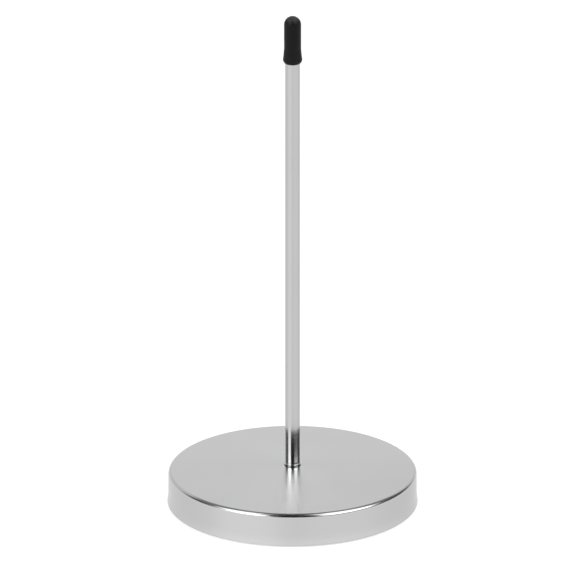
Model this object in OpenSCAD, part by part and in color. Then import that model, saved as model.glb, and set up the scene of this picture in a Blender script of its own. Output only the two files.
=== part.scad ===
// Bill spike: a weighted round base, a pointed spindle and a soft cap over the point.
// Sizes are in millimetres, +Z is up, and the origin is on the table under the spindle.

/* [Base shell] */
// Diameter of the base at its foot
base_d = 80; // [60:1:110]
// Height of the shell from its foot to the middle of its top
base_h = 12.6; // [11:0.1:25]
// Rise of the top from the rim to the middle
crown_h = 1.9; // [0.6:0.1:3]
// Thickness of the drawn sheet
shell_wall = 0.8; // [0.5:0.1:1.2]
// Inside radius of the bend at the rim
rim_bend_r = 0.4; // [0.3:0.1:1.5]
// How far the foot flares out past the wall
flare_out = 0.35; // [0.1:0.05:0.8]
// Height of the flare
flare_h = 4; // [2:0.1:5]

/* [Ballast weight] */
// Gap between the weight and the shell's wall
weight_gap = 0.4; // [0.2:0.1:1]
// Thickness of the weight's floor
weight_floor = 4; // [2:0.1:6]
// Width of the ring under the rim
weight_ring_w = 6; // [3:0.5:12]
// Diameter of the boss under the middle of the top
weight_boss_d = 19; // [17:0.5:26]
// How much the casting's upright faces lean
weight_draft = 0.5; // [0.2:0.1:1]
// Bevel on the casting's outer edges
weight_bevel = 1.2; // [0.6:0.1:2]
// Gap left between the weight and the underside of the shell's top
seat_gap = 0.05; // [0.02:0.01:0.2]

/* [Spindle] */
// Diameter of the straight shank
spindle_d = 4.76; // [4.4:0.02:6]
// Length of the straight shank, from the shell to the start of the point
shank_len = 136.5; // [80:0.1:200]
// Length of the point
point_len = 13.7; // [8:0.1:20]
// Diameter of the blunted tip
tip_d = 0.3; // [0.2:0.1:1]
// How far the collar stands out past the shank
collar_lip = 0.3; // [0.1:0.05:2]
// Thickness of the collar
collar_h = 0.4; // [0.2:0.05:2]
// Diameter of the threaded tail
thread_d = 4; // [3:0.1:4.2]
// How far the tail comes through the nut
tail_proud = 0.6; // [0.3:0.1:0.8]
// Bevel at the end of the tail
tail_bevel = 0.4; // [0.2:0.1:0.8]

/* [Nut and washers] */
// Nut width across its flats
nut_af = 7; // [6.5:0.1:8]
// Thickness of the nut
nut_h = 3.2; // [2:0.1:4]
// How far the bevel comes in from the nut's flats
nut_bevel = 0.2; // [0.05:0.05:0.4]
// How far the nut's thread opens out at its ends
nut_opening = 0.35; // [0.1:0.05:0.6]
// Diameter of the flat washer
washer_d = 9; // [8:0.1:10]
// Thickness of the flat washer
washer_t = 0.8; // [0.5:0.1:1.2]
// Width of the spring washer's section
lock_w = 1.3; // [0.8:0.1:1.6]
// Thickness of the spring washer
lock_t = 0.9; // [0.6:0.1:1.2]
// Gap in the spring washer's ring
lock_split = 0.6; // [0.3:0.1:1]
// Lean of that gap
lock_split_lean = 25; // [0:1:40]
// Room for a socket wrench round the washer
wrench_room = 2; // [1:0.1:3]
// Space between the nut and the pad
nut_cover = 1.1; // [1:0.1:3]
// Space round the thread in the nut
nut_clear = 0.05; // [0.02:0.01:0.1]
// Space round the thread in the washers, the weight and the shell
hole_clear = 0.12; // [0.05:0.01:0.3]

/* [Base pad] */
// How far the edge of the pad stays inside the weight's flat underside
pad_inset = 1.2; // [0.2:0.1:10]
// Thickness of the pad
pad_t = 2; // [1.2:0.1:4]
// How far the pad stands out below the shell's foot
pad_proud = 0.4; // [0.2:0.1:1]

/* [Safety cap] */
// Thickness of the cap's wall
cap_wall = 0.58; // [0.5:0.02:1.5]
// How much narrower than the shank the cap is moulded
cap_squeeze = 0.4; // [0.2:0.02:0.8]
// Space between the stretched mouth and the point
cap_clear = 0.06; // [0.03:0.01:0.2]
// Height of the cap's mouth above the start of the point
cap_lift = 0.05; // [0.05:0.05:2]
// Space between the tip and the end of the cap's bore
cap_tip_gap = 0.15; // [0.1:0.05:1]
// Thickness of the cap over the tip
cap_top = 1.95; // [1:0.05:4]
// Radius of the rounded bead at the mouth
cap_bead_r = 1.1; // [0.5:0.05:1.2]
// How far the bead stands out past the wall above it
cap_bead_out = 0.13; // [0.02:0.01:0.4]

/* [Hidden] */

// Segments on ordinary rounds and on the long, flat arcs
$fn = 96;
long_arc_fn = 256;
// Overlap that lets a cut pass clean through
cut = 1;

// Shell: the wall, the bend at the rim and the sphere of the crown, which meet on tangents
foot_z = pad_proud;
wall_r = base_d / 2 - flare_out;
rim_r = rim_bend_r + shell_wall;
crown_z = foot_z + base_h;
rim_c_r = wall_r - rim_r;
rim_c_z = crown_z - crown_h - rim_r;
crown_r = (pow(rim_c_r, 2) + pow(crown_h + rim_r, 2) - pow(rim_r, 2)) / (2 * crown_h);
crown_c_z = crown_z - crown_r;
// Direction, from the bend's centre, in which the bend and the crown share a tangent
tangent = [rim_c_r, rim_c_z - crown_c_z] / (crown_r - rim_r);
flare_z = foot_z + flare_h;
flare_r = (pow(flare_out, 2) + pow(flare_h, 2)) / (2 * flare_out);
hole_r = thread_d / 2 + hole_clear;

// Height of the underside of the crown at radius r
function under_crown(r) = crown_c_z + sqrt(pow(crown_r - shell_wall, 2) - r * r);

// Fasteners, from the pad up
nut_z = pad_t + nut_cover;
lock_z = nut_z + nut_h;
washer_z = lock_z + lock_t;
pocket_z = washer_z + washer_t;
pocket_r = washer_d / 2 + wrench_room;

// Weight
weight_r = wall_r - shell_wall - weight_gap;
weight_flat_r = weight_r - weight_bevel;
weight_ring_z = under_crown(weight_flat_r) - seat_gap;
weight_ring_r = weight_r - weight_ring_w;
weight_floor_z = pad_t + weight_floor;
weight_boss_r = weight_boss_d / 2;
weight_boss_z = under_crown(weight_boss_r) - seat_gap;

// Spindle: the point is an arc that leaves the shank on a tangent
spindle_r = spindle_d / 2;
collar_r = spindle_r + collar_lip;
point_z = crown_z + shank_len;
tip_z = point_z + point_len;
tip_r = tip_d / 2;
point_r = (pow(spindle_r - tip_r, 2) + pow(point_len, 2)) / (2 * (spindle_r - tip_r));
point_c_r = spindle_r - point_r;
tail_z = nut_z - tail_proud;

// Cap: its mouth follows the point's arc, and above that it keeps its moulded width
cap_bore_r = spindle_r - cap_squeeze / 2;
cap_r = cap_bore_r + cap_wall;
cap_mouth_z = point_z + cap_lift;
cap_bore_z = tip_z + cap_tip_gap;
cap_z = cap_bore_z + cap_top;

// Radius, at height rise above the start of the point, of the point's arc grown by grow
function point_radius(grow, rise) = point_c_r + sqrt(pow(point_r + grow, 2) - rise * rise);

// Half outline of the base, t inside its outer surface and reaching below its foot by below
module cup_outline(t, below) {
  bend_ray = [rim_c_r, rim_c_z] + tangent * (crown_h + 2 * rim_r);
  difference() {
    translate([0, foot_z - below])
      square([wall_r + flare_r, flare_h + below]);
    translate([wall_r + flare_r, flare_z])
      circle(flare_r + t, $fn = long_arc_fn);
  }
  translate([0, flare_z])
    square([wall_r - t, rim_c_z - flare_z]);
  intersection() {
    translate([rim_c_r, rim_c_z])
      circle(rim_r - t);
    polygon([
      [rim_c_r, rim_c_z],
      [wall_r + rim_r, rim_c_z],
      [wall_r + rim_r, bend_ray[1]],
      bend_ray,
    ]);
  }
  intersection() {
    translate([0, crown_c_z])
      circle(crown_r - t, $fn = long_arc_fn);
    polygon([
      [0, rim_c_z],
      [rim_c_r, rim_c_z],
      bend_ray,
      [0, bend_ray[1]],
    ]);
  }
}

// A plain ring on the spindle's axis, from height z up
module ring(outer_r, inner_r, z, h) {
  translate([0, 0, z])
    difference() {
      cylinder(r = outer_r, h = h);
      translate([0, 0, -cut])
        cylinder(r = inner_r, h = h + 2 * cut);
    }
}

// Drawn steel shell with a hole for the spindle's tail
module base_shell() {
  color("silver")
    rotate_extrude()
      difference() {
        cup_outline(0, 0);
        cup_outline(shell_wall, cut);
        square([hole_r, crown_z + cut]);
      }
}

// Cast weight: a floor with a ring under the rim, a boss in the middle and a pocket for the nut
module ballast_weight() {
  color("dimgray")
    rotate_extrude()
      polygon([
        [hole_r, pocket_z],
        [pocket_r, pocket_z],
        [pocket_r, pad_t],
        [weight_flat_r, pad_t],
        [weight_r, pad_t + weight_bevel],
        [weight_r, weight_ring_z - weight_bevel],
        [weight_flat_r, weight_ring_z],
        [weight_ring_r, weight_ring_z],
        [weight_ring_r - weight_draft, weight_floor_z],
        [weight_boss_r + weight_draft, weight_floor_z],
        [weight_boss_r, weight_boss_z],
        [hole_r, weight_boss_z],
      ]);
}

// Steel rod: threaded tail, thin collar, straight shank and a ground point
module spindle() {
  color("lightgray")
    rotate_extrude() {
      polygon([
        [0, tail_z],
        [thread_d / 2 - tail_bevel, tail_z],
        [thread_d / 2, tail_z + tail_bevel],
        [thread_d / 2, crown_z],
        [0, crown_z],
      ]);
      polygon([
        [0, crown_z],
        [collar_r, crown_z],
        [collar_r, crown_z + collar_h],
        [spindle_r, crown_z + collar_h],
        [spindle_r, point_z],
        [0, point_z],
      ]);
      intersection() {
        translate([point_c_r, point_z])
          circle(point_r, $fn = long_arc_fn);
        translate([0, point_z])
          square([spindle_d, point_len]);
      }
    }
}

// Flat washer against the roof of the weight's pocket
module flat_washer() {
  color("gainsboro")
    ring(washer_d / 2, hole_r, washer_z, washer_t);
}

// Split spring washer, pressed flat by the nut
module lock_washer() {
  inner_r = hole_r;
  color("slategray")
    difference() {
      ring(inner_r + lock_w, inner_r, lock_z, lock_t);
      translate([inner_r + lock_w / 2, 0, lock_z + lock_t / 2])
        rotate([lock_split_lean, 0, 0])
          cube([lock_w + cut, lock_split, 4 * lock_t], center = true);
    }
}

// Hexagon nut with both faces bevelled to a circle and the thread's ends opened out
module hex_nut() {
  bore_r = thread_d / 2 + nut_clear;
  face_r = nut_af / 2 - nut_bevel;
  corner_r = nut_af / 2 / cos(30);
  past_corner_r = corner_r + cut;
  bevel_h = (past_corner_r - face_r) * tan(30);
  color("gainsboro")
    intersection() {
      translate([0, 0, nut_z])
        cylinder(r = corner_r, h = nut_h, $fn = 6);
      rotate_extrude()
        polygon([
          [bore_r, nut_z + nut_opening],
          [bore_r + nut_opening, nut_z],
          [face_r, nut_z],
          [past_corner_r, nut_z + bevel_h],
          [past_corner_r, lock_z - bevel_h],
          [face_r, lock_z],
          [bore_r + nut_opening, lock_z],
          [bore_r, lock_z - nut_opening],
        ]);
    }
}

// Soft disc glued under the weight, which the object rests on
module base_pad() {
  color("black")
    cylinder(r = weight_flat_r - pad_inset, h = pad_t);
}

// Half outline of the cap from its bead up, or of its bore
module cap_outline(grow, straight_r, from_z, end_z) {
  round_z = end_z - straight_r;
  intersection() {
    translate([point_c_r, point_z])
      circle(point_r + grow, $fn = long_arc_fn);
    translate([0, from_z])
      square([2 * cap_r, round_z - from_z]);
  }
  translate([0, from_z])
    square([straight_r, round_z - from_z]);
  intersection() {
    translate([0, round_z])
      circle(straight_r);
    translate([0, round_z])
      square(2 * straight_r);
  }
}

// Section of the bead at the cap's mouth
module cap_bead_outline() {
  bead_z = cap_mouth_z + cap_bead_r;
  bead_edge_r = point_radius(cap_clear + cap_wall, bead_z - point_z) + cap_bead_out;
  translate([bead_edge_r - cap_bead_r, bead_z])
    circle(cap_bead_r);
}

// Soft cap, shown as it sits, with its mouth stretched over the start of the point
module safety_cap() {
  color("darkslategray")
    rotate_extrude()
      difference() {
        union() {
          cap_outline(cap_clear + cap_wall, cap_r, cap_mouth_z + cap_bead_r, cap_z);
          cap_bead_outline();
        }
        cap_outline(cap_clear, cap_bore_r, cap_mouth_z - cut, cap_bore_z);
      }
}

base_shell();
ballast_weight();
spindle();
flat_washer();
lock_washer();
hex_nut();
base_pad();
safety_cap();
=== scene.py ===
# %% [markdown]
# This lesson dresses a bill spike: a weighted, chromed base, a bright spindle and a soft black
# cap over its point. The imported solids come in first. Everything after that is made round them,
# in metres and in the same frame, so a piece goes where its solid already is.

# %% Load the solids
import math

import bmesh
import bpy
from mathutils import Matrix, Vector, noise


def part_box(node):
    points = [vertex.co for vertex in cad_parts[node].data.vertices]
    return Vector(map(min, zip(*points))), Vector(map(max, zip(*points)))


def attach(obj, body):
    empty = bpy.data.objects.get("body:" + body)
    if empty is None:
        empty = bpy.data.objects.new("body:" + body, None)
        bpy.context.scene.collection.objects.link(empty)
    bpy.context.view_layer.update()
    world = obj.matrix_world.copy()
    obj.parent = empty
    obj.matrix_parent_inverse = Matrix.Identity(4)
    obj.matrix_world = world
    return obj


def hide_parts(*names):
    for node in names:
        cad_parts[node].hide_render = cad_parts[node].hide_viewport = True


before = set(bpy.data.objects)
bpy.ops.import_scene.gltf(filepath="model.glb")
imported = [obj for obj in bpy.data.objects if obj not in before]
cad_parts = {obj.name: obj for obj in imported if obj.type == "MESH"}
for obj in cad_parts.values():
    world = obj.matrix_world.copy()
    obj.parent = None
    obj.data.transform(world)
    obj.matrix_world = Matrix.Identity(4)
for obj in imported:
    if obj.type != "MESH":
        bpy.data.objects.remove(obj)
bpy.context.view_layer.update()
MM = 0.001
print("solids:", ", ".join(sorted(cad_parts)))

# %% [markdown]
# The photograph's upright lines hardly converge, so it was taken from far away with a long lens.
# The camera could be turned by hand until the picture fits, but two measures place it at once.
# The foot of the base is the widest thing in the picture: its width in pixels gives the scale,
# and its middle in pixels gives the camera's place.

# %% Measure the picture
PHOTO_PX = 576
FOOT_AT_PX = (292.55, 500.6)
FOOT_HALF_WIDTH_PX = 125.2

shell_low, shell_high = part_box("base_shell")
pixel = shell_high.x / FOOT_HALF_WIDTH_PX
foot_right_px = FOOT_AT_PX[0] - PHOTO_PX / 2
foot_down_px = FOOT_AT_PX[1] - PHOTO_PX / 2
print(f"a pixel is {pixel / MM:.3f} mm at the foot")

# %% Place the camera
VIEW_ELEVATION = math.radians(20.9)
VIEW_DISTANCE = 8.0
SENSOR_WIDTH = 36.0

camera_data = bpy.data.cameras.new("camera")
camera_data.sensor_width = SENSOR_WIDTH
camera_data.lens = SENSOR_WIDTH * VIEW_DISTANCE / (PHOTO_PX * pixel)
camera_data.clip_end = 3 * VIEW_DISTANCE
camera = bpy.data.objects.new("camera", camera_data)
camera.rotation_euler = (math.pi / 2 - VIEW_ELEVATION, 0, 0)
to_camera = Vector((0, -math.cos(VIEW_ELEVATION), math.sin(VIEW_ELEVATION)))
picture_up = Vector((0, math.sin(VIEW_ELEVATION), math.cos(VIEW_ELEVATION)))
camera.location = Vector((0, 0, shell_low.z)) + VIEW_DISTANCE * to_camera
camera.location += foot_down_px * pixel * picture_up
camera.location.x -= foot_right_px * pixel
bpy.context.scene.collection.objects.link(camera)
bpy.context.scene.camera = camera
bpy.context.scene.view_settings.view_transform = "Standard"
print(f"camera: {camera_data.lens:.0f} mm lens, {VIEW_DISTANCE:.0f} m away")

# %% [markdown]
# The studio and the finishes are node trees. Each node could be wired by hand, but that takes a
# page for every finish, so small helpers keep it short. One makes a node and fills its sockets,
# with plain values or with links: a socket goes by its name, with _ for a space, or by its number,
# as in _0. The others read a coordinate, do sums, mix two values, make cloudy noise, and turn a
# value into a soft step, which is how most masks in this file are made.

# %% Make a node
def add_node(tree, kind, settings=None, **sockets):
    node = tree.nodes.new(kind)
    for name, value in (settings or {}).items():
        setattr(node, name, value)
    for name, value in sockets.items():
        socket = node.inputs[int(name[1:]) if name[0] == "_" else name.replace("_", " ")]
        if isinstance(value, bpy.types.NodeSocket):
            tree.links.new(value, socket)
        else:
            socket.default_value = value
    return node


def coordinate(tree, kind):
    return add_node(tree, "ShaderNodeTexCoord").outputs[kind]


def split(tree, vector):
    return add_node(tree, "ShaderNodeSeparateXYZ", Vector=vector).outputs


print("node helpers: add_node, coordinate, split")

# %% Do sums with nodes
def calc(tree, operation, first, second=0.0):
    node = add_node(tree, "ShaderNodeMath", {"operation": operation}, _0=first, _1=second)
    return node.outputs["Value"]


def vector_calc(tree, operation, first, second=(0, 0, 0)):
    sum_of = {"operation": operation}
    return add_node(tree, "ShaderNodeVectorMath", sum_of, _0=first, _1=second).outputs


def mix(tree, factor, first, second):
    return add_node(tree, "ShaderNodeMix", Factor=factor, A=first, B=second).outputs["Result"]


print("sums: calc, vector_calc, mix")

# %% Make masks with nodes
def soft_step(tree, value, start, end, low=0.0, high=1.0):
    node = add_node(
        tree, "ShaderNodeMapRange", {"interpolation_type": "SMOOTHSTEP"},
        Value=value, From_Min=start, From_Max=end, To_Min=low, To_Max=high,
    )
    return node.outputs["Result"]


def cloud(tree, where, scale, detail, roughness=0.5):
    node = add_node(
        tree, "ShaderNodeTexNoise",
        Vector=where, Scale=scale, Detail=detail, Roughness=roughness,
    )
    return node.outputs["Fac"]


print("masks: soft_step, cloud")

# %% [markdown]
# Chrome has hardly any colour of its own: it shows the room. The photograph's room is a studio
# with a white table, a bright sweep behind the object, a dark side behind the camera and two soft
# boxes in front, left and right. It could be built from lit panels, but the world can draw all of
# this by direction, and then each edge is placed by where the chrome shows it. Directions are in
# degrees round from the camera's side. Heights are sines: 0 is level and 1 is straight up.

# %% Face a direction
def facing(azimuth, elevation=0.0):
    turn = math.radians(azimuth)
    rise = math.radians(elevation)
    return Vector(
        (math.cos(rise) * math.sin(turn), -math.cos(rise) * math.cos(turn), math.sin(rise))
    )


def toward(tree, flat, azimuth, spread, full=0.0):
    likeness = vector_calc(tree, "DOT_PRODUCT", flat, facing(azimuth))["Value"]
    none_at, full_at = [math.cos(math.radians(angle)) for angle in (spread, full)]
    return soft_step(tree, likeness, none_at, full_at)


print("the camera's side:", tuple(facing(0)))

# %% [markdown]
# The table is all that lies below the level of the eye. The wall of the base and the spindle show
# hardly anything else, so their tone is the table's: a little lighter far away and under each
# box, and darker at the back. One even white would be simpler, but it leaves them flat.

# %% Paint the table
TABLE_WHITE = 1.06
TABLE_FAR_WHITE = 1.18
TABLE_NEAR = -0.36
TABLE_PATCHES = [
    # around, spread, change
    (-44, 44, 0.14),
    (44, 44, 0.06),
    (180, 110, -0.10),
]


def table_white(tree, flat, height):
    white = soft_step(tree, height, TABLE_NEAR, 0.0, TABLE_WHITE, TABLE_FAR_WHITE)
    for around, spread, change in TABLE_PATCHES:
        patch = calc(tree, "MULTIPLY", toward(tree, flat, around, spread), change)
        white = calc(tree, "ADD", white, patch)
    return white


print(f"table: white {TABLE_WHITE} near and {TABLE_FAR_WHITE} far")

# %% [markdown]
# The sweep is the white paper that curves up behind the object, and the top of the base shows it.
# At the back of the top the eye meets the chrome at a flatter angle, where any metal reflects
# more. In the photograph the top is even all the same, so the low part of the sweep, which the
# back shows, is a little dimmer. Round it the room is dark, and darkest behind the camera.

# %% Paint the sweep and the dark room
SWEEP_WHITE = 1.01
SWEEP_AROUND = {"azimuth": -170, "spread": 68, "full": 38}
SWEEP_END = (0.74, 0.64)
SWEEP_LOW = (0.12, 0.42)
SWEEP_LOW_SHARE = 0.88
DARK_AROUND = {"azimuth": 0, "spread": 90, "full": 20}
DARK_FRONT = 0.015
DARK_SIDES = 0.12


def room_white(tree, flat, height):
    behind = toward(tree, flat, **SWEEP_AROUND)
    sweep = soft_step(tree, height, *SWEEP_END, 0.0, SWEEP_WHITE)
    sweep = calc(tree, "MULTIPLY", behind, sweep)
    low_share = soft_step(tree, height, *SWEEP_LOW, SWEEP_LOW_SHARE, 1.0)
    sweep = calc(tree, "MULTIPLY", sweep, low_share)
    front = toward(tree, flat, **DARK_AROUND)
    dark = soft_step(tree, front, 0.0, 1.0, DARK_SIDES, DARK_FRONT)
    return calc(tree, "MAXIMUM", sweep, dark)


print(f"room: sweep {SWEEP_WHITE}, dark side {DARK_FRONT}")

# %% [markdown]
# The soft boxes are the white stretches along the rim and the streaks at the foot of the spindle,
# so their edges, in degrees round and up, are placed by those reflections. One plain rectangle a
# side would be too even: a real box is brightest in its middle and fades to its ends, so each
# is drawn in a few parts. The last part isn't a box but a dim ceiling at the back, which the top
# shows when it is seen from above.

# %% Draw the soft boxes
BOX_EDGE = 5
BOX_EDGE_UP = 0.02
BOX_PARTS = [
    # around, up, white
    ((-62, -28), (8, 21), 2.5),
    ((-62, -27), (21, 36), 7.4),
    ((-74, -62), (6, 36), 1.0),
    ((-86, -38), (36, 73), 2.3),
    ((28, 80), (10, 21), 0.15),
    ((27, 82), (21, 33), 4.2),
    ((32, 96), (33, 74), 2.4),
    ((115, 245), (46, 74), 0.34),
]


def box_white(tree, flat, height):
    white = 0.0
    for around, up, level in BOX_PARTS:
        middle = (around[0] + around[1]) / 2
        half = (around[1] - around[0]) / 2
        part = toward(tree, flat, middle, half + BOX_EDGE, half - BOX_EDGE)
        low, high = [math.sin(math.radians(angle)) for angle in up]
        bottom = soft_step(tree, height, low - BOX_EDGE_UP, low + BOX_EDGE_UP)
        top = soft_step(tree, height, high + BOX_EDGE_UP, high - BOX_EDGE_UP, 0.0, level)
        part = calc(tree, "MULTIPLY", calc(tree, "MULTIPLY", part, bottom), top)
        white = calc(tree, "ADD", part, white)
    return white


print(f"boxes: {len(BOX_PARTS)} parts")

# %% [markdown]
# Now the parts come together in the world. The boxes are for reflections alone, because on dull
# surfaces two lamps do their work, and those surfaces get a little even fill instead. The
# camera itself sees plain white, which is the photograph's background.

# %% Look around
LEVEL = (1, 1, 0)


def look_around(tree):
    direction = coordinate(tree, "Generated")
    flat = vector_calc(tree, "MULTIPLY", direction, LEVEL)["Vector"]
    return vector_calc(tree, "NORMALIZE", flat)["Vector"], split(tree, direction)["Z"]


print("a direction is read as a level one and a height")

# %% Paint the studio
HORIZON = (0.03, 0.15)
ROOM_FILL = 0.35
CAMERA_WHITE = 1.0


def paint_studio():
    world = bpy.data.worlds.new("studio")
    world.use_nodes = True
    tree = world.node_tree
    flat, height = look_around(tree)
    above = soft_step(tree, height, *HORIZON)
    white = mix(tree, above, table_white(tree, flat, height), room_white(tree, flat, height))
    path = add_node(tree, "ShaderNodeLightPath").outputs
    boxes = calc(tree, "MULTIPLY", box_white(tree, flat, height), path["Is Glossy Ray"])
    fill = calc(tree, "MULTIPLY", path["Is Diffuse Ray"], ROOM_FILL)
    white = calc(tree, "ADD", calc(tree, "ADD", white, boxes), fill)
    white = mix(tree, path["Is Camera Ray"], white, CAMERA_WHITE)
    background = tree.nodes["Background"].inputs
    background["Color"].default_value = (1, 1, 1, 1)
    tree.links.new(white, background["Strength"])
    return world


bpy.context.scene.world = paint_studio()
print(f"studio: {len(bpy.context.scene.world.node_tree.nodes)} nodes")

# %% [markdown]
# Dull surfaces, such as the cap and the floor, don't show the boxes but are lit by them. The
# world could do that too, but lamps give softer, cleaner shadows for the same time. Two area lamps
# hang where the boxes are. They stay out of reflections, because the boxes are drawn there already.

# %% Hang the lamps
BOX_DISTANCE = 1.2


def soft_box(name, azimuth, elevation, width, height, power):
    data = bpy.data.lights.new(name, "AREA")
    data.shape = "RECTANGLE"
    data.size = width
    data.size_y = height
    data.energy = power
    box = bpy.data.objects.new(name, data)
    box.location = BOX_DISTANCE * facing(azimuth, elevation)
    box.rotation_euler = (math.pi / 2 - math.radians(elevation), 0, math.radians(azimuth))
    box.visible_camera = False
    box.visible_glossy = False
    bpy.context.scene.collection.objects.link(box)
    print(f"{name}: {width:.2f} by {height:.2f} m, {power:.1f} W")


soft_box("soft_box_left", azimuth=-51, elevation=37, width=0.9, height=1.0, power=7.5)
soft_box("soft_box_right", azimuth=56, elevation=42, width=1.1, height=0.9, power=8.0)

# %% [markdown]
# The floor is a sheet of white paper, a hair below the pad so that the two faces don't fight. More
# light could make it white, but that would wash out the object. So it takes the shadow as any
# surface does, and has a little light of its own, for the camera alone. From below it is clear,
# so that the underside can be looked at.

# %% Choose the paper
FLOOR_PAPER = (0.5, 0.5, 0.5)
FLOOR_GLOW = 0.62


def white_paper():
    paper = bpy.data.materials.new("white_paper")
    paper.use_nodes = True
    tree = paper.node_tree
    shader = tree.nodes["Principled BSDF"]
    shader.inputs["Base Color"].default_value = (*FLOOR_PAPER, 1)
    shader.inputs["Roughness"].default_value = 1.0
    shader.inputs["Specular IOR Level"].default_value = 0.0
    shader.inputs["Emission Color"].default_value = (1, 1, 1, 1)
    path = add_node(tree, "ShaderNodeLightPath").outputs
    seen = calc(tree, "MAXIMUM", path["Is Camera Ray"], path["Is Transmission Ray"])
    tree.links.new(calc(tree, "MULTIPLY", seen, FLOOR_GLOW), shader.inputs["Emission Strength"])
    below = add_node(tree, "ShaderNodeNewGeometry").outputs["Backfacing"]
    tree.links.new(calc(tree, "SUBTRACT", 1.0, below), shader.inputs["Alpha"])
    return paper


paper = white_paper()
print("paper:", paper.name)

# %% Lay the floor
FLOOR_SIZE = 8.0
FLOOR_DROP = 0.02 * MM


def lay_floor():
    half = FLOOR_SIZE / 2
    corners = [(-half, -half), (half, -half), (half, half), (-half, half)]
    mesh = bpy.data.meshes.new("floor")
    mesh.from_pydata([(x, y, -FLOOR_DROP) for x, y in corners], [], [(0, 1, 2, 3)])
    mesh.materials.append(paper)
    floor = bpy.data.objects.new("floor", mesh)
    floor.visible_glossy = False
    bpy.context.scene.collection.objects.link(floor)


lay_floor()
print(f"floor: {FLOOR_SIZE:.0f} m of paper")

# %% [markdown]
# Three effects are used by more than one finish: the fine lines that polishing leaves, the faint
# smudges of handling, and the grain of a cast, dipped or plated skin. They could be wired again
# in each finish, but as node groups they are built once, and each finish gives them values of its
# own. A group puts out one value over the surface, and the finish decides what it does with it.

# %% Start an effect
EFFECTS = {}


def effect(name, values, output):
    tree = bpy.data.node_groups.new(name, "ShaderNodeTree")
    tree.interface.new_socket(name="Position", in_out="INPUT", socket_type="NodeSocketVector")
    for value in values:
        tree.interface.new_socket(name=value, in_out="INPUT", socket_type="NodeSocketFloat")
    tree.interface.new_socket(name=output, in_out="OUTPUT", socket_type="NodeSocketFloat")
    ins = tree.nodes.new("NodeGroupInput").outputs
    out = tree.nodes.new("NodeGroupOutput").inputs[output]
    return tree, ins, out


def add_effect(tree, name, **sockets):
    return add_node(tree, "ShaderNodeGroup", {"node_tree": EFFECTS[name]}, **sockets).outputs[0]


print("effects so far:", len(EFFECTS))

# %% [markdown]
# A polishing wheel leaves lines that are long one way and very fine the other. A texture of waves
# would make them all alike, so this is noise, stretched: quick across the lines and slow along
# them.

# %% Draw polishing lines
LINE_BREAKS = 60.0
LINE_CONTRAST = (0.3, 0.7)


def polish_lines():
    tree, ins, out = effect("polish_lines", ("Across", "Fineness"), "Lines")
    across = calc(tree, "MULTIPLY", ins["Across"], ins["Fineness"])
    spot = split(tree, ins["Position"])
    x = calc(tree, "MULTIPLY", spot["X"], LINE_BREAKS)
    y = calc(tree, "MULTIPLY", spot["Y"], LINE_BREAKS)
    where = add_node(tree, "ShaderNodeCombineXYZ", X=across, Y=x, Z=y).outputs["Vector"]
    lines = cloud(tree, where, scale=1.0, detail=3.0, roughness=0.6)
    tree.links.new(soft_step(tree, lines, *LINE_CONTRAST), out)
    return tree


EFFECTS["lines"] = polish_lines()
print("effect:", EFFECTS["lines"].name)

# %% [markdown]
# Smudges are wide soft patches, broken up by a finer noise inside them. Grain is pebbles with
# dust between them: rounded cells, half and half with noise. Both take a scale, in grains to the
# metre, so one group serves a hand's smear and a spot of rust, or sand marks and foam.

# %% Smear smudges
PATCH_EDGE = (0.45, 0.75)
PATCH_FINER = 7.0
PATCH_BROKEN = (0.25, 0.75, 0.7, 1.0)


def smudges():
    tree, ins, out = effect("smudges", ("Scale",), "Smudge")
    patch = cloud(tree, ins["Position"], ins["Scale"], detail=2.0)
    fine_scale = calc(tree, "MULTIPLY", ins["Scale"], PATCH_FINER)
    fine = cloud(tree, ins["Position"], fine_scale, detail=4.0)
    patch = soft_step(tree, patch, *PATCH_EDGE)
    fine = soft_step(tree, fine, *PATCH_BROKEN)
    tree.links.new(calc(tree, "MULTIPLY", patch, fine), out)
    return tree


EFFECTS["smudges"] = smudges()
print("effect:", EFFECTS["smudges"].name)

# %% Grow grain
DUST_SHARE = 0.5


def grain():
    tree, ins, out = effect("grain", ("Scale",), "Grain")
    pebbles = add_node(
        tree, "ShaderNodeTexVoronoi", {"feature": "SMOOTH_F1"},
        Vector=ins["Position"], Scale=ins["Scale"],
    ).outputs["Distance"]
    dust = cloud(tree, ins["Position"], ins["Scale"], detail=5.0)
    tree.links.new(mix(tree, DUST_SHARE, pebbles, dust), out)
    return tree


EFFECTS["grain"] = grain()
print("effects:", ", ".join(EFFECTS))

# %% [markdown]
# A finish starts as a Principled shader with its plain values on its own sockets. What changes
# over the surface comes from the effects, and goes to Base Color, Roughness and Normal alone: it
# tints, it roughens or it embosses. That is enough for every finish here, and it can be baked.

# %% Start a finish
def start_finish(name, color, roughness, metallic=0.0, specular=0.5):
    material = bpy.data.materials.new(name)
    material.use_nodes = True
    tree = material.node_tree
    shader = tree.nodes["Principled BSDF"]
    shader.inputs["Base Color"].default_value = (*color, 1)
    shader.inputs["Roughness"].default_value = roughness
    shader.inputs["Metallic"].default_value = metallic
    shader.inputs["Specular IOR Level"].default_value = specular
    return material, tree, shader, coordinate(tree, "Object")


print("finishes so far:", len(bpy.data.materials))

# %% Tint, roughen and emboss
def tint(tree, shader, value, low_color, high_color):
    ramp = add_node(tree, "ShaderNodeValToRGB", Fac=value)
    ramp.color_ramp.elements[0].color = (*low_color, 1)
    ramp.color_ramp.elements[1].color = (*high_color, 1)
    tree.links.new(ramp.outputs["Color"], shader.inputs["Base Color"])


def roughen(tree, shader, value, low, high):
    tree.links.new(soft_step(tree, value, 0.0, 1.0, low, high), shader.inputs["Roughness"])


def emboss(tree, shader, value, depth):
    bump = add_node(tree, "ShaderNodeBump", Height=value, Strength=1.0, Distance=depth)
    tree.links.new(bump.outputs["Normal"], shader.inputs["Normal"])


print("finish helpers: tint, roughen, emboss")

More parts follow.
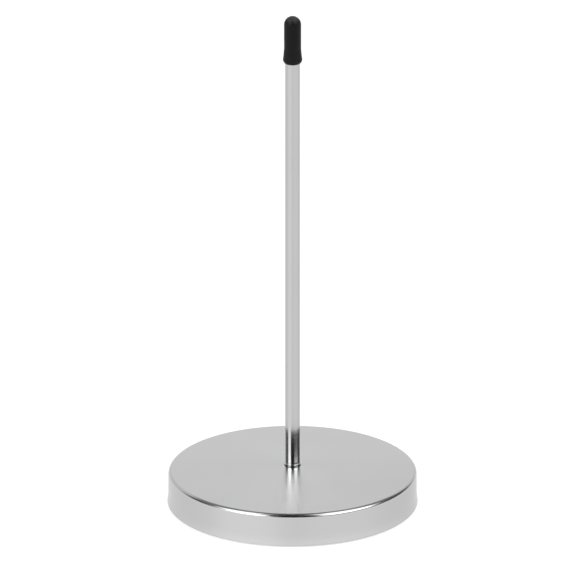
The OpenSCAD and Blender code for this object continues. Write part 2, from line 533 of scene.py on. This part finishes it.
# %% [markdown]
# Base and spindle are bright chrome over polished steel. It could be a plain mirror, but then it
# would look drawn. Its polishing lines are too fine to see one by one, so they mostly soften the
# reflections, and smudges soften them a little more here and there. Each piece also has one
# place that is darker and perhaps smoother, which it gives as a mask of its own: on the base
# that is worn plating, on the spindle it is painted shade.

# %% Mix the chrome
LINE_FINENESS = 9000.0
LINE_DEPTH = 0.00015 * MM
LINE_SHARE = 0.3
SMUDGE_SHARE = 0.7
SMUDGE_SCALE = 30.0
SMUDGE_LOSS = 0.025
NO_LIGHT = (0, 0, 0)


def chrome(name, color, across, smooth, smudged, streak, wear_and_shade, wear_and_shade_loss, wear_and_shade_smooth):
    material, tree, shader, position = start_finish(name, color, smooth, metallic=1.0)
    shader.inputs["Anisotropic"].default_value = streak
    across = across(tree)
    lines = add_effect(tree, "lines", Position=position, Across=across, Fineness=LINE_FINENESS)
    smudge = add_effect(tree, "smudges", Position=position, Scale=SMUDGE_SCALE)
    # On the spindle this mask is painted shade that darkens the chrome; on the base it is worn
    # plating.
    wear_and_shade_mask = wear_and_shade(tree)
    smudge_loss = calc(tree, "MULTIPLY", smudge, SMUDGE_LOSS)
    loss = calc(tree, "MAXIMUM", smudge_loss, calc(tree, "MULTIPLY", wear_and_shade_mask, wear_and_shade_loss))
    tint(tree, shader, loss, color, NO_LIGHT)
    lines_part = calc(tree, "MULTIPLY", lines, LINE_SHARE)
    smudge_part = calc(tree, "MULTIPLY", smudge, SMUDGE_SHARE)
    rough = calc(tree, "ADD", lines_part, smudge_part)
    rough = soft_step(tree, rough, 0.0, 1.0, smooth, smudged)
    rough_left = soft_step(tree, wear_and_shade_mask, 0.0, 1.0, 1.0, wear_and_shade_smooth)
    tree.links.new(calc(tree, "MULTIPLY", rough, rough_left), shader.inputs["Roughness"])
    emboss(tree, shader, lines, LINE_DEPTH)
    return material


print("chrome: ready to mix")

# %% [markdown]
# On the base the lines run round the middle, so they are counted by the distance from the axis,
# and the shader stretches its highlights across them. On the bend round the rim the plating is
# thin, so it is a little darker, but the wheel reached it best, so it is also the smoothest part.
# The bend could be marked by place, but the way the surface faces finds it at any size.

# %% Chrome the base
BASE_COLOR = (0.53, 0.53, 0.533)
BEND_FROM_WALL = (0.3, 0.45)
BEND_TO_TOP = (0.98, 0.9)
BEND_LOSS = 0.14
BEND_SMOOTH = 0.75


def from_axis(tree):
    spot = split(tree, coordinate(tree, "Object"))
    x_squared = calc(tree, "POWER", spot["X"], 2.0)
    y_squared = calc(tree, "POWER", spot["Y"], 2.0)
    return calc(tree, "SQRT", calc(tree, "ADD", x_squared, y_squared))


def facing_up(tree):
    return split(tree, coordinate(tree, "Normal"))["Z"]


def rim_bend(tree):
    up = facing_up(tree)
    off_wall = soft_step(tree, up, *BEND_FROM_WALL)
    return calc(tree, "MULTIPLY", off_wall, soft_step(tree, up, *BEND_TO_TOP))


base_chrome = chrome(
    "base_chrome", BASE_COLOR, from_axis, smooth=0.18, smudged=0.21, streak=0.8,
    wear_and_shade=rim_bend, wear_and_shade_loss=BEND_LOSS, wear_and_shade_smooth=BEND_SMOOTH,
)
print("finish:", base_chrome.name)

# %% [markdown]
# Nearly every piece of the real object is round: drawn, turned, cast or dipped about one axis. So
# a section, half of the shape as points of radius and height, says all about it. Two helpers draw
# sections: an arc, and a polygon whose corners are rounded off, because no real edge is perfectly
# sharp. A bevel modifier would round them too, but not each by its own radius.

# %% Draw sections
def arc(center, radius, start, end, steps):
    points = []
    for i in range(steps + 1):
        angle = math.radians(start + (end - start) * i / steps)
        points.append((center[0] + radius * math.cos(angle), center[1] + radius * math.sin(angle)))
    return points


def rounded(corners, steps=6):
    points = []
    for i, (x, z, radius) in enumerate(corners):
        if radius == 0:
            points.append((x, z))
            continue
        here = Vector((x, z))
        before = (Vector(corners[i - 1][:2]) - here).normalized()
        after = (Vector(corners[(i + 1) % len(corners)][:2]) - here).normalized()
        half = before.angle(after) / 2
        center = here + (before + after).normalized() * radius / math.sin(half)
        first = here + before * radius / math.tan(half) - center
        last = here + after * radius / math.tan(half) - center
        for k in range(steps + 1):
            points.append(tuple(center + radius * first.slerp(last, k / steps)))
    return points


print("a corner, rounded:", len(rounded([(0, 0, 0), (1, 0, 0.2), (1, 1, 0)])), "points")

# %% [markdown]
# The section is then spun, as a lathe would. Blender's Screw modifier spins a line as well, but in
# a function each point can be moved on its way round, and the thread, the nut and the uneven skins
# below need that. A point on the axis is made once, so the ends close with no folded faces.

# %% Make a piece
def make_piece(name, bm, sharp):
    bmesh.ops.recalc_face_normals(bm, faces=bm.faces)
    mesh = bpy.data.meshes.new(name)
    bm.to_mesh(mesh)
    bm.free()
    mesh.shade_smooth()
    mesh.set_sharp_from_angle(angle=math.radians(sharp))
    piece = bpy.data.objects.new(name, mesh)
    bpy.context.scene.collection.objects.link(piece)
    return piece


print("edges sharper than a piece's own angle stay crisp")

# %% Spin a section
SPIN_STEPS = 144
ON_AXIS = 1e-7


def spin(name, section, ring=True, shape=None, sharp=35):
    bm = bmesh.new()
    loops = []
    for radius, height in section:
        loop = []
        for i in range(1 if radius < ON_AXIS else SPIN_STEPS):
            turn = 2 * math.pi * i / SPIN_STEPS
            r, z = shape(radius, height, turn) if shape else (radius, height)
            loop.append(bm.verts.new((r * math.cos(turn), r * math.sin(turn), z)))
        loops.append(loop)
    pairs = list(zip(loops, loops[1:])) + ([(loops[-1], loops[0])] if ring else [])
    for one, two in pairs:
        if len(one) == len(two) == 1:
            continue
        for i in range(SPIN_STEPS):
            j = (i + 1) % SPIN_STEPS
            corners = [one[i % len(one)], one[j % len(one)], two[j % len(two)], two[i % len(two)]]
            bm.faces.new(list(dict.fromkeys(corners)))
    return make_piece(name, bm, sharp)


print(f"lathe: {SPIN_STEPS} steps a turn")

# %% [markdown]
# A finished piece gets its finish, rides on the body that carries it, and stands for its solid.

# %% Fit a piece
def fit(piece, node, body, material):
    piece.data.materials.append(material)
    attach(piece, body)
    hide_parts(node)
    low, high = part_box(node)
    size = " by ".join(f"{(b - a) / MM:.1f}" for a, b in zip(low, high))
    print(f"{piece.name}: {len(piece.data.vertices)} points for {node}, {size} mm")


# %% [markdown]
# The shell is drawn from one sheet of steel: a top that rises a little to the middle, a tight
# bend at the rim and a wall that flares at its foot. A cylinder with bevels comes close, but in
# chrome the smallest kink shows, so the section is made of arcs that meet on tangents: one for the
# crown, one for the bend and one for the flare.

# %% Measure the shell
SHELL_WALL = 0.8 * MM
CROWN_RISE = 1.9 * MM
RIM_RADIUS = 1.3 * MM
FLARE_OUT = 0.35 * MM
FLARE_HEIGHT = 4.0 * MM

foot_z = shell_low.z
crown_z = shell_high.z
wall_r = shell_high.x - FLARE_OUT
rim_center = (wall_r - RIM_RADIUS, crown_z - CROWN_RISE - RIM_RADIUS)
rim_reach = rim_center[0] ** 2 + (CROWN_RISE + RIM_RADIUS) ** 2 - RIM_RADIUS ** 2
crown_r = rim_reach / (2 * CROWN_RISE)
crown_center = (0.0, crown_z - crown_r)
crown_edge = math.degrees(math.acos(rim_center[0] / (crown_r - RIM_RADIUS)))
flare_r = (FLARE_OUT ** 2 + FLARE_HEIGHT ** 2) / (2 * FLARE_OUT)
flare_center = (wall_r + flare_r, foot_z + FLARE_HEIGHT)
print(f"shell: crown radius {crown_r / MM:.0f} mm, flare radius {flare_r / MM:.0f} mm")

# %% [markdown]
# Inside and outside are the same three arcs, a sheet's thickness apart. The crown's arc stops a
# trace before the bend's begins, so that no point is made twice. The cut edges, at the foot and
# round the hole in the middle, are rounded off.

# %% Draw one face of the sheet
HOLE_RADIUS = 2.12 * MM
CUT_EDGE = 0.2 * MM
CROWN_STOP = 0.02
CROWN_STEPS = 48
RIM_STEPS = 24
FLARE_STEPS = 12


def shell_face(inset):
    hole_edge = math.degrees(math.acos((HOLE_RADIUS + CUT_EDGE) / (crown_r - inset)))
    flare_edge = math.degrees(math.asin((FLARE_HEIGHT - CUT_EDGE) / (flare_r + inset)))
    face = arc(crown_center, crown_r - inset, hole_edge, crown_edge + CROWN_STOP, CROWN_STEPS)
    face += arc(rim_center, RIM_RADIUS - inset, crown_edge, 0, RIM_STEPS)
    face += arc(flare_center, flare_r + inset, 180, 180 + flare_edge, FLARE_STEPS)
    return face


print(f"one face of the sheet: {len(shell_face(0.0))} points")

# %% Draw the shell
def shell_section():
    outside = shell_face(0.0)
    inside = shell_face(SHELL_WALL)[::-1]
    foot_out = (outside[-1][0], foot_z, CUT_EDGE)
    foot_in = (inside[0][0], foot_z, CUT_EDGE / 2)
    foot = rounded([(*outside[-1], 0), foot_out, foot_in, (*inside[0], 0)])
    hole_in = (HOLE_RADIUS, inside[-1][1], CUT_EDGE / 2)
    hole_out = (HOLE_RADIUS, outside[0][1], CUT_EDGE / 2)
    hole = rounded([(*inside[-1], 0), hole_in, hole_out, (*outside[0], 0)])
    # The foot's rounding starts on the wall's own last point, which isn't repeated.
    return outside + foot[2:-1] + inside + hole[1:-1]


shell = spin("chromed_shell", shell_section())
fit(shell, "base_shell", "stand", base_chrome)

# %% [markdown]
# The spindle is drawn rod, ground and plated. Its lines run round it too, so they are counted
# along its height. The fine dark ring at its foot, round the collar just over the shell, is painted
# shade: the chrome is darkened there for the shadow in the seam. A ring of its own could cast that
# shadow, but here it is painted in the finish.

# %% Chrome the spindle
SPINDLE_COLOR = (0.5, 0.5, 0.503)
SHADE_RING_HEIGHT = 13.22 * MM
SHADE_RING_REACH = 0.15 * MM
SHADE_RING_FULL = 0.7 * SHADE_RING_REACH
SHADE_RING_DARKENING = 0.9


def along_axis(tree):
    return split(tree, coordinate(tree, "Object"))["Z"]


# Painted shade: a narrow band round the collar, just over the shell, where the chrome is darkened
# for the seam's shadow.
def painted_shade_ring(tree):
    away = calc(tree, "SUBTRACT", along_axis(tree), SHADE_RING_HEIGHT)
    return soft_step(tree, calc(tree, "ABSOLUTE", away), SHADE_RING_REACH, SHADE_RING_FULL)


spindle_chrome = chrome(
    "spindle_chrome", SPINDLE_COLOR, along_axis, smooth=0.12, smudged=0.16, streak=0.0,
    wear_and_shade=painted_shade_ring, wear_and_shade_loss=SHADE_RING_DARKENING, wear_and_shade_smooth=1.0,
)
print("finish:", spindle_chrome.name)

# %% [markdown]
# The tail of the spindle has a thread, and the nut has the same one inside. A bump could draw it,
# but it would be gone in the exported mesh, so it is cut for real: the radius goes up and down
# along a helix. One function cuts both, so the two always mesh.

# %% Cut the thread
THREAD_RADIUS = 2.0 * MM
THREAD_DEPTH = 0.4 * MM
THREAD_PITCH = 0.7 * MM
THREAD_ROW = 0.07 * MM
THREAD_SLACK = 0.01 * MM
THREAD_ROOT = 0.15
THREAD_FLANK = 0.7


def thread_radius(height, turn):
    phase = (height / THREAD_PITCH - turn / (2 * math.pi)) % 1.0
    rise = min(max((abs(2 * phase - 1) - THREAD_ROOT) / THREAD_FLANK, 0.0), 1.0)
    return THREAD_RADIUS - THREAD_SLACK - THREAD_DEPTH * (1 - rise)


def thread_rows(low, high):
    count = round((high - low) / THREAD_ROW)
    return [(THREAD_RADIUS, low + (high - low) * i / count) for i in range(count + 1)]


print(f"thread: {2 * THREAD_RADIUS / MM:.0f} mm, pitch {THREAD_PITCH / MM:.1f} mm")

# %% [markdown]
# The point is ground to a slow curve, not to a cone, and ends in a tip that is a little round. One
# arc gives the curve: it leaves the shank without a kink and reaches the tip's radius at the end.

# %% Measure the point
SHANK_RADIUS = 2.38 * MM
POINT_LENGTH = 13.7 * MM
TIP_RADIUS = 0.15 * MM

spindle_low, spindle_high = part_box("spindle")
point_z = spindle_high.z - POINT_LENGTH
taper = SHANK_RADIUS - TIP_RADIUS
point_r = (taper ** 2 + POINT_LENGTH ** 2) / (2 * taper)
point_center = (SHANK_RADIUS - point_r, point_z)
point_edge = math.degrees(math.asin((POINT_LENGTH - TIP_RADIUS) / point_r))
print(f"point: radius {point_r / MM:.1f} mm, {point_edge:.1f} degrees at the tip")

# %% [markdown]
# The spindle is one piece of steel. From the bottom up it has the threaded tail, a thin collar
# that sits on the shell, the straight shank and the point, all in one section. The rows of the
# thread have its full radius there, and get their true one as they are spun.

# %% Draw the spindle
COLLAR_HEIGHT = 0.4 * MM
COLLAR_UNDER = 0.04 * MM
COLLAR_OVER = 0.05 * MM
COLLAR_CORNER = 0.24 * MM
SHANK_END = 1 * MM
THREAD_TOP = 9.4 * MM
TAIL_BEVEL = 0.4 * MM
TIP_START = 20


def spindle_section():
    collar_r = spindle_high.x
    collar_z = crown_z + COLLAR_HEIGHT
    section = [(0, spindle_low.z), (THREAD_RADIUS - TAIL_BEVEL, spindle_low.z)]
    section += thread_rows(spindle_low.z + TAIL_BEVEL, THREAD_TOP)
    section += [(THREAD_RADIUS, THREAD_TOP + THREAD_PITCH)]
    section += rounded([
        (THREAD_RADIUS, crown_z, 0),
        (collar_r, crown_z, COLLAR_UNDER),
        (collar_r, collar_z, COLLAR_OVER),
        (SHANK_RADIUS, collar_z, COLLAR_CORNER),
        (SHANK_RADIUS, collar_z + SHANK_END, 0),
        (SHANK_RADIUS, point_z - SHANK_END, 0),
    ])
    section += arc(point_center, point_r, 0, point_edge, 24)
    section += arc((0, spindle_high.z - TIP_RADIUS), TIP_RADIUS, TIP_START, 90, 5)[:-1]
    return section + [(0, spindle_high.z)]


print(f"spindle: {len(spindle_section())} points in the section")

# %% Turn the spindle
def spindle_shape(radius, height, turn):
    if radius == THREAD_RADIUS and height <= THREAD_TOP:
        return thread_radius(height, turn), height
    return radius, height


spindle = spin("spindle_rod", spindle_section(), ring=False, shape=spindle_shape)
fit(spindle, "spindle", "stand", spindle_chrome)

# %% [markdown]
# The nut and the washers are out of sight, but they are metal all the same: bright zinc, which
# sets in fine crystals and goes dull in patches, and dark spring steel. The two differ only in
# colour and gloss, so one function makes both.

# %% Plate the nut and the washers
CRYSTAL_SCALE = 3500.0
CRYSTAL_DEPTH = 0.004 * MM
DULL_SCALE = 400.0


def bare_metal(name, color, dull_color, smooth, rough):
    material, tree, shader, position = start_finish(name, color, smooth, metallic=1.0)
    crystals = add_effect(tree, "grain", Position=position, Scale=CRYSTAL_SCALE)
    dull = add_effect(tree, "smudges", Position=position, Scale=DULL_SCALE)
    tint(tree, shader, dull, color, dull_color)
    roughen(tree, shader, dull, smooth, rough)
    emboss(tree, shader, crystals, CRYSTAL_DEPTH)
    return material


zinc_plate = bare_metal("zinc_plate", (0.55, 0.56, 0.57), (0.46, 0.46, 0.45), 0.3, 0.5)
spring_steel = bare_metal("spring_steel", (0.16, 0.16, 0.165), (0.12, 0.11, 0.1), 0.35, 0.5)
print("finishes:", zinc_plate.name, spring_steel.name)

# %% [markdown]
# The nut is a hexagon whose corners are bevelled to a circle on both faces, which gives each
# flat its two curved edges. That could be cut with a boolean, but spinning gives it as well, with
# cleaner faces: round the outside, the radius follows the hexagon and the edge's height follows
# the bevel. The rows that are to be moved so are marked by a radius outside the nut.

# %% Make the nut
NUT_FACE_RADIUS = 3.3 * MM
NUT_FLAT = 3.5 * MM
NUT_BEVEL_SLOPE = math.tan(math.radians(30))
NUT_OPENING = 0.35 * MM
NUT_CLEAR = 0.06 * MM
NUT_SHARP = 25
OUTSIDE = 10 * MM

nut_low, nut_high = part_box("hex_nut")


def nut_shape(radius, height, turn):
    if radius == OUTSIDE:
        corner = turn % (math.pi / 3) - math.pi / 6
        flat = NUT_FLAT / math.cos(corner)
        drop = (flat - NUT_FACE_RADIUS) * NUT_BEVEL_SLOPE
        return flat, height + drop if height == nut_low.z else height - drop
    if radius == THREAD_RADIUS:
        return thread_radius(height, turn) + NUT_CLEAR, height
    return radius, height


opened = THREAD_RADIUS + NUT_OPENING
nut_section = [(opened, nut_low.z), (NUT_FACE_RADIUS, nut_low.z), (OUTSIDE, nut_low.z)]
nut_section += [(OUTSIDE, nut_high.z), (NUT_FACE_RADIUS, nut_high.z), (opened, nut_high.z)]
nut_section += thread_rows(nut_low.z + NUT_OPENING, nut_high.z - NUT_OPENING)[::-1]
nut = spin("zinc_nut", nut_section, shape=nut_shape, sharp=NUT_SHARP)
fit(nut, "hex_nut", "stand", zinc_plate)

# %% [markdown]
# The flat washer is punched from sheet, so its edges are rolled over on one face and crisp on the
# other. A plain ring would have four alike, and here each corner gets the radius it needs.

# %% Punch the flat washer
CRISP_EDGE = 0.05 * MM
ROLLED_EDGE = 0.25 * MM

washer_low, washer_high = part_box("flat_washer")
washer = spin("zinc_washer", rounded([
    (HOLE_RADIUS, washer_low.z, CRISP_EDGE),
    (washer_high.x, washer_low.z, CRISP_EDGE),
    (washer_high.x, washer_high.z, ROLLED_EDGE),
    (HOLE_RADIUS, washer_high.z, ROLLED_EDGE),
]))
fit(washer, "flat_washer", "stand", zinc_plate)

# %% [markdown]
# The spring washer is a square wire bent to a ring, with a split that leans. It is swept rather
# than spun, because its two ends have to be closed. Each point starts and ends its turn at the
# split, and the split's place depends on the point's height, which is what makes it lean.

# %% Follow the wire round
LOCK_SPLIT = 0.6 * MM
LOCK_LEAN = math.radians(25)

lock_low, lock_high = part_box("lock_washer")
lock_middle = (lock_low.z + lock_high.z) / 2
half_split = LOCK_SPLIT / 2 / math.cos(LOCK_LEAN)


def wire_point(radius, height, step):
    shift = (lock_middle - height) * math.tan(LOCK_LEAN)
    start = math.asin((shift + half_split) / radius)
    end = 2 * math.pi + math.asin((shift - half_split) / radius)
    turn = start + (end - start) * step / SPIN_STEPS
    return radius * math.cos(turn), radius * math.sin(turn), height


print(f"split: {2 * half_split / MM:.2f} mm along the ring")

# %% Bend the spring washer
WIRE_EDGE = 0.1 * MM
WIRE_SHARP = 50


def bend_wire():
    sides = [(HOLE_RADIUS, lock_low), (lock_high.x, lock_low)]
    sides += [(lock_high.x, lock_high), (HOLE_RADIUS, lock_high)]
    wire = rounded([(radius, corner.z, WIRE_EDGE) for radius, corner in sides], steps=3)
    bm = bmesh.new()
    loops = [
        [bm.verts.new(wire_point(radius, height, i)) for radius, height in wire]
        for i in range(SPIN_STEPS + 1)
    ]
    for one, two in zip(loops, loops[1:]):
        for k in range(len(wire)):
            n = (k + 1) % len(wire)
            bm.faces.new((one[k], one[n], two[n], two[k]))
    bm.faces.new(loops[0])
    bm.faces.new(loops[-1])
    return make_piece("spring_washer", bm, sharp=WIRE_SHARP)


spring_washer = bend_wire()
fit(spring_washer, "lock_washer", "stand", spring_steel)

# %% [markdown]
# The weight is raw cast iron, dull and gray, with the marks of the sand it was cast in and a
# little rust. Grain gives the sand and smudges give the rust: the same groups as on the chrome,
# with other values.

# %% Choose the iron
IRON_GRAY = (0.09, 0.088, 0.085)
IRON_RUST = (0.115, 0.072, 0.05)
SAND_SCALE = 1400.0
SAND_BUMP = 0.12 * MM
RUST_SCALE = 70.0


def cast_iron():
    material, tree, shader, position = start_finish("cast_weight", IRON_GRAY, 0.75)
    sand = add_effect(tree, "grain", Position=position, Scale=SAND_SCALE)
    rust = add_effect(tree, "smudges", Position=position, Scale=RUST_SCALE)
    tint(tree, shader, rust, IRON_GRAY, IRON_RUST)
    roughen(tree, shader, rust, 0.7, 0.9)
    emboss(tree, shader, sand, SAND_BUMP)
    return material


cast_weight = cast_iron()
print("finish:", cast_weight.name)

# %% [markdown]
# The casting has a floor, a heavy ring under the rim, a boss in the middle and a pocket for the
# nut. Its ring follows the inside of the shell. A sand casting has round corners, so the section is
# rounded, and an uneven skin, so its long sides are cut into even steps that can be moved.

# %% Measure the weight
WEIGHT_BEVEL = 1.2 * MM
WEIGHT_GAP = 0.1 * MM

weight_low, weight_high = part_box("ballast_weight")
weight_r = weight_high.x
pocket_z = washer_high.z
bevel_r = weight_r - WEIGHT_BEVEL
ring_z = crown_center[1] + math.sqrt((crown_r - SHELL_WALL) ** 2 - bevel_r ** 2)
ring_z -= WEIGHT_GAP
print(f"weight: the ring is {(ring_z - weight_low.z) / MM:.2f} mm high")

# %% Step along a side
def even_steps(points, longest):
    stepped = []
    for (x, z), (next_x, next_z) in zip(points, points[1:] + points[:1]):
        pieces = max(1, math.ceil(math.hypot(next_x - x, next_z - z) / longest))
        for k in range(pieces):
            stepped.append((x + (next_x - x) * k / pieces, z + (next_z - z) * k / pieces))
    return stepped


print("a square in quarters:", len(even_steps([(0, 0), (1, 0), (1, 1), (0, 1)], 0.25)), "points")

# %% Draw the weight
WEIGHT_FLOOR = 4.0 * MM
WEIGHT_RING = 6.0 * MM
WEIGHT_BOSS = 9.5 * MM
WEIGHT_DRAFT = 0.5 * MM
POCKET_RADIUS = 6.5 * MM
HOLE_ROUND = 0.2 * MM
POCKET_ROUND = (0.4 * MM, 0.3 * MM)
BEVEL_ROUND = 0.5 * MM
EDGE_ROUND = 0.8 * MM
FLOOR_ROUND = 1.2 * MM
CAST_STEP = 1.2 * MM


def weight_section():
    floor_z = weight_low.z + WEIGHT_FLOOR
    return even_steps(rounded([
        (HOLE_RADIUS, pocket_z, HOLE_ROUND),
        (POCKET_RADIUS, pocket_z, POCKET_ROUND[0]),
        (POCKET_RADIUS, weight_low.z, POCKET_ROUND[1]),
        (bevel_r, weight_low.z, BEVEL_ROUND),
        (weight_r, weight_low.z + WEIGHT_BEVEL, BEVEL_ROUND),
        (weight_r, ring_z - WEIGHT_BEVEL, BEVEL_ROUND),
        (bevel_r, ring_z, BEVEL_ROUND),
        (weight_r - WEIGHT_RING, ring_z, EDGE_ROUND),
        (weight_r - WEIGHT_RING - WEIGHT_DRAFT, floor_z, FLOOR_ROUND),
        (WEIGHT_BOSS + WEIGHT_DRAFT, floor_z, FLOOR_ROUND),
        (WEIGHT_BOSS, weight_high.z, EDGE_ROUND),
        (HOLE_RADIUS, weight_high.z, HOLE_ROUND),
    ], steps=4), CAST_STEP)


print(f"weight: {len(weight_section())} points in the section")

# %% [markdown]
# The skin is moved in and out a little by noise, and mostly inward, so that the casting stays in
# the room it has. The faces that other pieces sit on were machined, so they stay as they are.

# %% Cast the weight
SAND_DEPTH = 0.05 * MM
SAND_SIZE = 1.8 * MM
SAND_INWARD = 0.6
BORED_MARGIN = 0.3 * MM
FACED_MARGIN = 0.05 * MM


def cast_skin(radius, height, turn):
    bored = radius < POCKET_RADIUS + BORED_MARGIN
    if bored or height < weight_low.z + FACED_MARGIN or height > ring_z:
        return radius, height
    spot = Vector((radius * math.cos(turn), radius * math.sin(turn), height)) / SAND_SIZE
    bump = SAND_DEPTH * (noise.noise(spot) - SAND_INWARD)
    return radius + bump, height + bump


weight = spin("iron_weight", weight_section(), shape=cast_skin)
fit(weight, "ballast_weight", "stand", cast_weight)

# %% [markdown]
# The pad is a disc of black closed-cell foam, cut with a punch and glued under the weight. A
# cloth simulation could press it, but it is thin, stiff and tight, so its section says enough: the
# object stands on it, so its edge is pressed into a slight bulge and its rims are soft. Its
# cells are grain, lighter where a cell is cut open.

# %% Choose the foam
FOAM_BLACK = (0.02, 0.02, 0.021)
FOAM_CELLS = ((0.012, 0.012, 0.013), (0.04, 0.04, 0.042))
CELL_SCALE = 2600.0
CELL_DEPTH = 0.12 * MM


def cell_foam():
    material, tree, shader, position = start_finish("pad_foam", FOAM_BLACK, 0.9, specular=0.25)
    cells = add_effect(tree, "grain", Position=position, Scale=CELL_SCALE)
    tint(tree, shader, cells, *FOAM_CELLS)
    emboss(tree, shader, cells, CELL_DEPTH)
    return material


pad_foam = cell_foam()
print("finish:", pad_foam.name)

# %% Cut the pad
PAD_BULGE = 0.15 * MM
PAD_RIM = 0.45 * MM
PAD_SIDE = 2.0 * MM


def pad_section():
    low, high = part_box("base_pad")
    return rounded([
        (0, low.z, 0),
        (high.x / 2, low.z, 0),
        (high.x - PAD_BULGE, low.z, PAD_RIM),
        (high.x, (low.z + high.z) / 2, PAD_SIDE),
        (high.x - PAD_BULGE, high.z, PAD_RIM),
        (high.x / 2, high.z, 0),
        (0, high.z, 0),
    ])


pad = spin("foam_pad", pad_section(), ring=False)
fit(pad, "base_pad", "stand", pad_foam)

# %% [markdown]
# The cap is dipped vinyl: black, a little dull, with a fine skin. Plain black would look like a
# hole in the picture, and the real one isn't clean: hands have left a trace of dust all over. On
# its dome, where the surface faces up, lighter patches are painted, which are partly settled dust
# and partly a painted highlight of the light from above.

# %% Choose the vinyl
VINYL_BLACK = (0.005, 0.005, 0.0055)
VINYL_DUST_AND_SHEEN = (0.046, 0.046, 0.048)
VINYL_GLOSS = 0.12
VINYL_ROUGH = (0.45, 0.62)
SKIN_SCALE = 4200.0
SKIN_DEPTH = 0.01 * MM
HANDLED_SCALE = 260.0
HANDLED_DUST = 0.08
DUST_AND_SHEEN_FACING = (0.3, 0.9)
DUST_AND_SHEEN_SCALE = 700.0
DUST_AND_SHEEN_PATCHES = (0.3, 0.65, 0.3, 1.0)


def dipped_vinyl():
    material, tree, shader, position = start_finish(
        "cap_vinyl", VINYL_BLACK, 0.5, specular=VINYL_GLOSS
    )
    skin = add_effect(tree, "grain", Position=position, Scale=SKIN_SCALE)
    handled = add_effect(tree, "smudges", Position=position, Scale=HANDLED_SCALE)
    # Where the dome faces up, lighter patches are partly settled dust and partly a painted
    # highlight.
    dust_and_sheen_on_top = soft_step(tree, facing_up(tree), *DUST_AND_SHEEN_FACING)
    patches = cloud(tree, position, DUST_AND_SHEEN_SCALE, detail=3.0)
    patches = soft_step(tree, patches, *DUST_AND_SHEEN_PATCHES)
    dust = calc(tree, "MULTIPLY", dust_and_sheen_on_top, patches)
    dust = calc(tree, "ADD", dust, calc(tree, "MULTIPLY", handled, HANDLED_DUST))
    tint(tree, shader, dust, VINYL_BLACK, VINYL_DUST_AND_SHEEN)
    roughen(tree, shader, handled, *VINYL_ROUGH)
    emboss(tree, shader, skin, SKIN_DEPTH)
    return material


cap_vinyl = dipped_vinyl()
print("finish:", cap_vinyl.name)

# %% [markdown]
# The cap was dipped on a pin and is pulled over the point, which stretches it. It could be a
# capsule with a hole, but its mouth ends in a round bead, a little wider than the rest. So first
# the bead is placed: its outside by the solid's width, its lip by the spindle it closes on.

# %% Place the bead
CAP_WALL = 0.54 * MM
CAP_RADIUS = 2.72 * MM
CAP_CLEAR = 0.06 * MM
CAP_TIP_GAP = 0.15 * MM
BEAD_RADIUS = 1.5 * MM
BEAD_INSET = 0.06 * MM
BEAD_LIP = 0.03 * MM


def point_radius(grow, height):
    return point_center[0] + math.sqrt((point_r + grow) ** 2 - (height - point_z) ** 2)


cap_low, cap_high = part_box("safety_cap")
cap_bore_r = CAP_RADIUS - CAP_WALL
cap_bore_z = spindle_high.z + CAP_TIP_GAP - cap_bore_r
cap_dome_z = cap_high.z - CAP_RADIUS
bead_center_r = cap_high.x - BEAD_INSET - BEAD_RADIUS
lip_r = point_radius(CAP_CLEAR, cap_low.z) + BEAD_LIP
bead_mouth = math.acos((lip_r - bead_center_r) / BEAD_RADIUS)
bead_center = (bead_center_r, cap_low.z + BEAD_RADIUS * math.sin(bead_mouth))
print(f"bead: {math.degrees(bead_mouth):.0f} degrees down to the lip")

# %% [markdown]
# From the bead the outside narrows quickly, so its rows are closest there. Then it follows the
# point inside it and ends in a dome. The inside follows the spindle too, with a little room.

# %% Draw the cap's outside
BEAD_TOP = 20
BEAD_BLEND = 0.5 * MM
WALL_ROWS = 40
WALL_CROWDING = 1.6


def cap_outside():
    side = arc(bead_center, BEAD_RADIUS, -math.degrees(bead_mouth), BEAD_TOP, 16)
    bead_r, bead_z = side[-1]
    for k in range(1, WALL_ROWS):
        z = bead_z + (cap_dome_z - bead_z) * (k / WALL_ROWS) ** WALL_CROWDING
        wall = max(point_radius(CAP_CLEAR + CAP_WALL, z), CAP_RADIUS)
        blend = math.exp(-((z - bead_z) / BEAD_BLEND) ** 2)
        side.append((wall + (bead_r - wall) * blend, z))
    return side + arc((0, cap_dome_z), CAP_RADIUS, 0, 90, 20)[:-1] + [(0, cap_high.z)]


cap_side = cap_outside()
print(f"cap: {len(cap_side)} points outside")

# %% Draw the cap's inside
BORE_ROWS = 24


def cap_inside(mouth_z):
    side = [(0, cap_bore_z + cap_bore_r)] + arc((0, cap_bore_z), cap_bore_r, 90, 0, 12)[1:]
    # The last row stays half a row short of the lip, which is there already.
    for k in range(1, BORE_ROWS + 1):
        z = cap_bore_z + (mouth_z - cap_bore_z) * k / (BORE_ROWS + 0.5)
        side.append((max(point_radius(CAP_CLEAR, z), cap_bore_r), z))
    return side


cap_side += cap_inside(cap_side[0][1])
print(f"cap: {len(cap_side)} points in all")

# %% [markdown]
# A dipped skin is never quite even, so a slow, small swell goes over the outside. A displacement
# in the finish would be lost in the exported mesh, so the points themselves are moved.

# %% Dip the cap
SWELL = 0.012 * MM
SWELL_LENGTH = 4 * MM
SWELL_FINENESS = 1.3
SWELL_FROM = 0.9 * CAP_RADIUS


def dip_swell(radius, height, turn):
    if radius < SWELL_FROM or height < bead_center[1]:
        return radius, height
    spot = Vector((math.cos(turn), math.sin(turn), height / SWELL_LENGTH))
    return radius + SWELL * noise.noise(SWELL_FINENESS * spot), height


cap = spin("dipped_cap", cap_side, shape=dip_swell)
fit(cap, "safety_cap", "cap", cap_vinyl)
